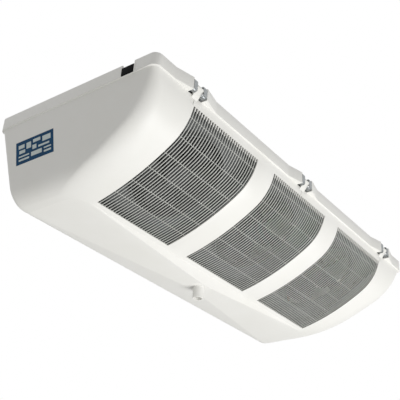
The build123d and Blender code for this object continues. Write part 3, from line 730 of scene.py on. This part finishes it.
endPlate("labelPlate", label["y0"], label["y1"], label["top"], label["bottom"], -label["sunk"],
         label["thick"], labelBlue)
for i, (leftSide, rightSide, high, low) in enumerate(label["fields"]):
    endPlate("labelBlock%d" % i, label["y1"] - rightSide, label["y1"] - leftSide, label["top"] - high,
             label["top"] - low, label["thick"] - label["fieldSunk"], label["fieldThick"], labelPale)
print("small casing pieces placed")


frameWeldMm = 0.02
flatAngle = 0.5  # triangles that meet flatter than this become one face


def fromFrame(node, material, bevelMm):
    # a merged copy of a node, with rounded edges
    source = frame["nodes"][node]
    copy = bpy.data.objects.new(node + "Finish", source.data.copy())
    bpy.context.scene.collection.objects.link(copy)
    mesh = bmesh.new()
    mesh.from_mesh(copy.data)
    bmesh.ops.remove_doubles(mesh, verts=mesh.verts, dist=frameWeldMm * mm)
    bmesh.ops.dissolve_limit(mesh, angle_limit=radians(flatAngle), verts=mesh.verts, edges=mesh.edges)
    mesh.to_mesh(copy.data)
    mesh.free()
    finishPiece(copy, material, bevelMm=bevelMm, body=source["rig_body"], replaces=[node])


coil = {
    "tubePitch": 35.0, "rows": 2, "levels": 5, "back": 168.0, "top": -4.0, "half": 448.0, "fins": 225,
    "finThick": 0.3, "tubeRadius": 6.0, "waves": 5, "wave": 1.2, "valley": 0.2, "endGap": 0.1,
    "sheetFace": 450.0, "bendStraight": 4.0, "bendSteps": 16,
}
rowYs = [coil["back"] - coil["tubePitch"] * (row + 0.5) for row in range(coil["rows"])]
levelZs = [coil["top"] - coil["tubePitch"] * (level + 0.5) for level in range(coil["levels"])]


def fillFin(mesh):
    # one corrugated fin at the left end of the coil
    depth = coil["tubePitch"] * coil["rows"]
    tall = coil["tubePitch"] * coil["levels"]
    steps = coil["waves"] * 2
    columns = []
    for i in range(steps + 1):
        y = coil["back"] - depth * i / steps
        x = -coil["half"] + (coil["wave"] if i % 2 else coil["valley"])
        columns.append([[mesh.verts.new(((x + side) * mm, y * mm, z * mm))
                         for side in (0, coil["finThick"])] for z in (coil["top"], coil["top"] - tall)])
    for (a0, a1), (b0, b1) in zip(columns, columns[1:]):
        mesh.faces.new((a0[0], b0[0], b1[0], a1[0]))
        mesh.faces.new((a0[1], a1[1], b1[1], b0[1]))
        mesh.faces.new((a0[0], a0[1], b0[1], b0[0]))
        mesh.faces.new((a1[0], b1[0], b1[1], a1[1]))
    for upper, lower in (columns[0], columns[-1]):
        mesh.faces.new((upper[0], lower[0], lower[1], upper[1]))


finRoom = 2 * coil["half"] - coil["wave"] - coil["finThick"] - coil["endGap"]
fins = runTree(meshPiece("finStack", fillFin), evenRow, {
    "Count": coil["fins"], "Pitch": finRoom / (coil["fins"] - 1) * mm, "Material": finStrip})
finishPiece(fins, finStrip, smoothAngle=20, body="frame", replaces=["fin_pack"])


steep = 0.8  # upright share of a run's direction, above which its rings start from X and not from Z


def tube(mesh, path, radius, sides=24):
    # a round tube along a list of points, with mitred rings and closed ends
    rings = []
    for i, point in enumerate(path):
        before = Vector(path[max(i - 1, 0)])
        after = Vector(path[min(i + 1, len(path) - 1)])
        along = (after - before).normalized()
        across = along.cross(Vector((0, 0, 1) if abs(along.z) < steep else (1, 0, 0))).normalized()
        other = along.cross(across)
        turns = [2 * pi * k / sides for k in range(sides)]
        rings.append([mesh.verts.new((Vector(point) + across * radius * cos(turn)
                                      + other * radius * sin(turn)) * mm) for turn in turns])
    for first, second in zip(rings, rings[1:]):
        for k in range(sides):
            j = (k + 1) % sides
            mesh.faces.new((first[k], first[j], second[j], second[k]))
    mesh.faces.new(rings[0])
    mesh.faces.new(rings[-1])


def fillBends(mesh):
    # one half turn at each level, from the back row of tubes to the front row
    radius = coil["tubePitch"] / 2
    startX = -coil["sheetFace"]
    middle = (rowYs[0] + rowYs[1]) / 2
    for z in levelZs:
        path = [(startX, rowYs[0], z)]
        for i in range(coil["bendSteps"] + 1):
            angle = radians(90 + 180 * i / coil["bendSteps"])
            path.append((startX - coil["bendStraight"] + radius * cos(angle),
                         middle + radius * sin(angle), z))
        path.append((startX, rowYs[1], z))
        tube(mesh, path, coil["tubeRadius"])


finishPiece(meshPiece("returnBends", fillBends), copper, smoothAngle=40, body="frame",
            replaces=["return_bends"])

headers = [
    {"node": "suction_header", "name": "suctionHeader", "radius": 9.0, "out": 20.0, "row": 0, "level": 1,
     "stub": 7.94},
    {"node": "liquid_header", "name": "liquidHeader", "radius": 6.0, "out": 38.0, "row": 1, "level": 2,
     "stub": 4.76},
]
# capShares are places along the upright, as shares of its height
stubs = {"end": 204.0, "socket": 30.0, "neck": 0.8, "branch": 3.6, "branchSides": 16, "edge": 0.4,
         "capInset": 0.5, "capShares": (0.02, 0.5, 0.98)}


def fillHeader(mesh, header):
    # upright pipe, a branch to each level, and a stub that steps up to its socket
    x = coil["sheetFace"] + header["out"]
    y, z = rowYs[header["row"]], levelZs[header["level"]]
    low, high = levelZs[-1] - header["radius"], levelZs[0] + header["radius"]
    heights = [low + stubs["capInset"]] + [low + (high - low) * share for share in stubs["capShares"]]
    heights.append(high - stubs["capInset"])
    tube(mesh, [(x, y, height) for height in heights], header["radius"])
    for branchZ in levelZs:
        tube(mesh, [(coil["sheetFace"], y, branchZ), (x, y, branchZ)], stubs["branch"], stubs["branchSides"])
    shoulder = stubs["end"] - stubs["socket"]
    tube(mesh, [(x, y, z), (x, shoulder, z)], header["stub"] - stubs["neck"])
    tube(mesh, [(x, shoulder, z), (x, stubs["end"], z)], header["stub"])


for header in headers:
    piece = meshPiece(header["name"], lambda mesh: fillHeader(mesh, header))
    finishPiece(piece, copper, smoothAngle=40, bevelMm=stubs["edge"], body="frame",
                replaces=[header["node"]])
print("coil placed")


fan = {
    "tilt": 33.0, "y": -81.0, "z": -102.0, "blades": 5, "tip": 98.0, "hub": 31.0, "hubHalf": 15.0,
    "chord": 72.0, "rootWidth": 44.0, "pitch": 34.0, "camber": 9.0, "thick": 2.2, "across": 14, "along": 10,
    "rootSunk": 2.0, "tipGap": 1.0, "tipCut": 0.35, "tipFrom": 0.8, "edgeThin": 0.6, "innermost": 0.4,
    "boss": 8.0, "bossStep": 4.0, "recess": 1.2, "chamfer": 1.0, "hubRound": 5.0, "roundSteps": 8,
    "sides": 64,
}


def bladeTree():
    # one blade, turned about the fan's own axis
    tree, given, output = nodeTree("bladeRing", [("Count", "NodeSocketInt")])
    one = addNode(tree, "GeometryNodeMeshLine", {"Count": (given, "Count")}, {"Offset": (0.0, 0.0, 0.0)})
    number = addNode(tree, "GeometryNodeInputIndex")
    step = addNode(tree, "ShaderNodeMath", {1: (given, "Count")}, {0: 2 * pi}, {"operation": "DIVIDE"})
    angle = addNode(tree, "ShaderNodeMath", {0: (number, "Index"), 1: (step, "Value")}, None,
                    {"operation": "MULTIPLY"})
    turn = addNode(tree, "ShaderNodeCombineXYZ", {"Z": (angle, "Value")})
    spread = addNode(tree, "GeometryNodeInstanceOnPoints",
                     {"Points": (one, "Mesh"), "Instance": (given, "Geometry"), "Rotation": (turn, "Vector")})
    closeTree(tree, given, output, spread, "Instances")
    return tree


def bladePoint(side, share, sweep):
    # one point of a blade: side of the plate, share of the way out, sweep from edge to edge
    arcRadius = (fan["chord"] ** 2 / 4 + fan["camber"] ** 2) / (2 * fan["camber"])
    halfAngle = asin(fan["chord"] / 2 / arcRadius)
    root = fan["hub"] - fan["rootSunk"]
    radius = root + (fan["tip"] - fan["tipGap"] - root) * share
    width = (fan["rootWidth"] + (fan["chord"] - fan["rootWidth"]) * share) / fan["chord"]
    width *= 1.0 - fan["tipCut"] * max(0.0, (share - fan["tipFrom"]) / (1 - fan["tipFrom"])) ** 2
    bend = halfAngle * sweep * width
    flat = arcRadius * sin(bend)
    rise = arcRadius * (1 - cos(bend)) - fan["camber"] / 2
    rise += side * fan["thick"] * (1.0 - fan["edgeThin"] * abs(sweep) ** 3)
    pitch = radians(fan["pitch"])
    v, w = flat * cos(pitch) - rise * sin(pitch), flat * sin(pitch) + rise * cos(pitch)
    return sqrt(max(radius ** 2 - v ** 2, (fan["hub"] * fan["innermost"]) ** 2)), v, w


def fillBlade(mesh):
    # cambered plate with a swept, rounded outline, in the fan's own space
    across, along = fan["across"], fan["along"]
    low, high = [[[mesh.verts.new([c * mm for c in bladePoint(side, j / along, 2 * i / across - 1)])
                   for i in range(across + 1)] for j in range(along + 1)] for side in (-0.5, 0.5)]
    for j in range(along):
        for i in range(across):
            mesh.faces.new((low[j][i], low[j][i + 1], low[j + 1][i + 1], low[j + 1][i]))
            mesh.faces.new((high[j][i], high[j + 1][i], high[j + 1][i + 1], high[j][i + 1]))
    for j in range(along):
        for i in (0, across):
            mesh.faces.new((low[j][i], low[j + 1][i], high[j + 1][i], high[j][i]))
    for i in range(across):
        for j in (0, along):
            mesh.faces.new((low[j][i], low[j][i + 1], high[j][i + 1], high[j][i]))


def fillHub(mesh):
    # turned hub, with a rounded front
    hub, half, chamfer, bulge = fan["hub"], fan["hubHalf"], fan["chamfer"], fan["hubRound"]
    outline = [(fan["boss"], -half), (hub - chamfer, -half), (hub, chamfer - half)]
    for i in range(fan["roundSteps"] + 1):
        angle = radians(90 * i / fan["roundSteps"])
        outline.append((hub - bulge + bulge * cos(angle), half - bulge + bulge * sin(angle)))
    outline += [(fan["boss"] + fan["bossStep"], half), (fan["boss"], half - fan["recess"]),
                (samePlaceMm, half - fan["recess"])]
    sides = fan["sides"]
    rings = [[mesh.verts.new((r * cos(2 * pi * k / sides) * mm, r * sin(2 * pi * k / sides) * mm, h * mm))
              for k in range(sides)] for r, h in outline]
    for first, second in zip(rings, rings[1:]):
        for k in range(sides):
            j = (k + 1) % sides
            mesh.faces.new((first[k], first[j], second[j], second[k]))
    mesh.faces.new(rings[0])
    mesh.faces.new(rings[-1])


def fanMatrix(x):
    # the fan's own space to the frame: its axis tilts forward and down
    tilt = radians(fan["tilt"])
    axis = Vector((0, -sin(tilt), -cos(tilt)))
    side = Vector((1, 0, 0))
    return Matrix.Translation((x * mm, fan["y"] * mm, fan["z"] * mm)) @ Matrix(
        (side, axis.cross(side), axis)).transposed().to_4x4()


def joinInto(piece, other):
    # one mesh out of two, and the other object removed
    mesh = bmesh.new()
    mesh.from_mesh(piece.data)
    mesh.from_mesh(other.data)
    mesh.to_mesh(piece.data)
    mesh.free()
    bpy.data.objects.remove(other)


blades = bladeTree()
for name, grilleX in zip(sideNames, grilleXs):
    impeller = runTree(meshPiece("impeller" + name.capitalize(), fillBlade), blades,
                       {"Count": fan["blades"], "Material": fanNylon})
    joinInto(impeller, meshPiece("hub" + name.capitalize(), fillHub))
    impeller.data.transform(fanMatrix(grilleX))
    finishPiece(impeller, fanNylon, smoothAngle=35, body="fan_" + name, replaces=["fan_" + name])
print("fans placed")


# each node's material, and the round on its edges
# the fan deck and the motor straps take the dark sheet: painted shade
plainFinish = {
    "drain_spigot": (absWhite, 0.6), "cable_grommet": (rubberBlack, 0.8), "rear_screw_left": (stainless, 0.3),
    "rear_screw_right": (stainless, 0.3), "top_plate": (galvanised, 0.5), "hinge_pins": (stainless, 0.3),
    "end_sheet_left": (galvanised, 0.4), "end_sheet_right": (galvanised, 0.4),
    "fan_deck": (paintedShadeDeck, 0.4), "terminal_box": (boxGrey, 1.0), "terminal_lid": (boxGrey, 0.8),
    "cable_gland": (boxGrey, 0.6),
}
for name in sideNames:
    plainFinish["hinge_bracket_" + name] = (zincPlate, 0.4)
    plainFinish["motor_strap_" + name] = (paintedShadeDeck, 0.4)
    plainFinish["motor_" + name] = (motorEnamel, 1.5)
for node, (material, edge) in plainFinish.items():
    fromFrame(node, material, edge)
print("frame pieces finished:", len(plainFinish))


# where the viewer stands, in metres, and which ways are right, down and forward in the view
view = {
    "place": (-1.392, -1.0235, -0.9629), "right": (0.59466, -0.80158, 0.06205),
    "down": (0.42288, 0.24620, -0.87210), "forward": (0.68378, 0.54484, 0.48538), "lens": 70.9, "sensor": 36,
}
cameraData = bpy.data.cameras.new("viewCamera")
cameraData.lens = view["lens"]
cameraData.sensor_width = view["sensor"]
camera = bpy.data.objects.new("viewCamera", cameraData)
bpy.context.scene.collection.objects.link(camera)
camera.location = view["place"]
camera.rotation_euler = Matrix((view["right"], -Vector(view["down"]), -Vector(view["forward"]))
                               ).transposed().to_euler()
bpy.context.scene.camera = camera

# pale floor well below, in metres, lighter where it is seen directly, so that it joins the background
studio = {"floorZ": -4.0, "floorHalf": 40, "floorGlow": 0.42, "sky": 0.5, "backdrop": 1.0}
half, low = studio["floorHalf"], studio["floorZ"]
floorMesh = bpy.data.meshes.new("studioFloor")
floorMesh.from_pydata([(-half, -half, low), (half, -half, low), (half, half, low), (-half, half, low)], [],
                      [(0, 1, 2, 3)])
floorPiece = bpy.data.objects.new("studioFloor", floorMesh)
bpy.context.scene.collection.objects.link(floorPiece)
floorMaterial = newMaterial("studioFloorPale", "F2F2F0", 0.9)
tree = floorMaterial.node_tree
floorShader = tree.nodes["Principled BSDF"]
floorShader.inputs["Emission Color"].default_value = srgb("FFFFFF")
seen = addNode(tree, "ShaderNodeLightPath")
glow = addNode(tree, "ShaderNodeMath", {0: (seen, "Is Camera Ray")}, {1: studio["floorGlow"]},
               {"operation": "MULTIPLY"})
tree.links.new(glow.outputs["Value"], floorShader.inputs["Emission Strength"])
floorMesh.materials.append(floorMaterial)

# soft light from all round, and pure white where the background is seen or mirrored
world = bpy.data.worlds.new("studioWorld")
bpy.context.scene.world = world
world.use_nodes = True
tree = world.node_tree
sky = tree.nodes["Background"]
backdrop = addNode(tree, "ShaderNodeBackground")
for node, strength in ((sky, studio["sky"]), (backdrop, studio["backdrop"])):
    node.inputs["Color"].default_value = srgb("FFFFFF")
    node.inputs["Strength"].default_value = strength
path = addNode(tree, "ShaderNodeLightPath")
either = addNode(tree, "ShaderNodeMath", {0: (path, "Is Camera Ray"), 1: (path, "Is Glossy Ray")}, None,
                 {"operation": "MAXIMUM"})
mix = addNode(tree, "ShaderNodeMixShader", {"Fac": (either, "Value"), 1: (sky, "Background"),
                                            2: (backdrop, "Background")})
tree.links.new(mix.outputs["Shader"], tree.nodes["World Output"].inputs["Surface"])

# one large disk in front and below, as a soft box would stand
keyLight = {"place": (0.35, -1.25, -2.0), "aim": (0, 0, -0.1), "size": 1.6, "power": 38}
lampData = bpy.data.lights.new("keyLight", "AREA")
lampData.shape = "DISK"
lampData.size = keyLight["size"]
lampData.energy = keyLight["power"]
lamp = bpy.data.objects.new("keyLight", lampData)
bpy.context.scene.collection.objects.link(lamp)
lamp.location = keyLight["place"]
lamp.rotation_euler = (Vector(keyLight["aim"]) - lamp.location).to_track_quat("-Z", "Y").to_euler()

bpy.context.scene.view_settings.view_transform = "Standard"
print("scene ready")
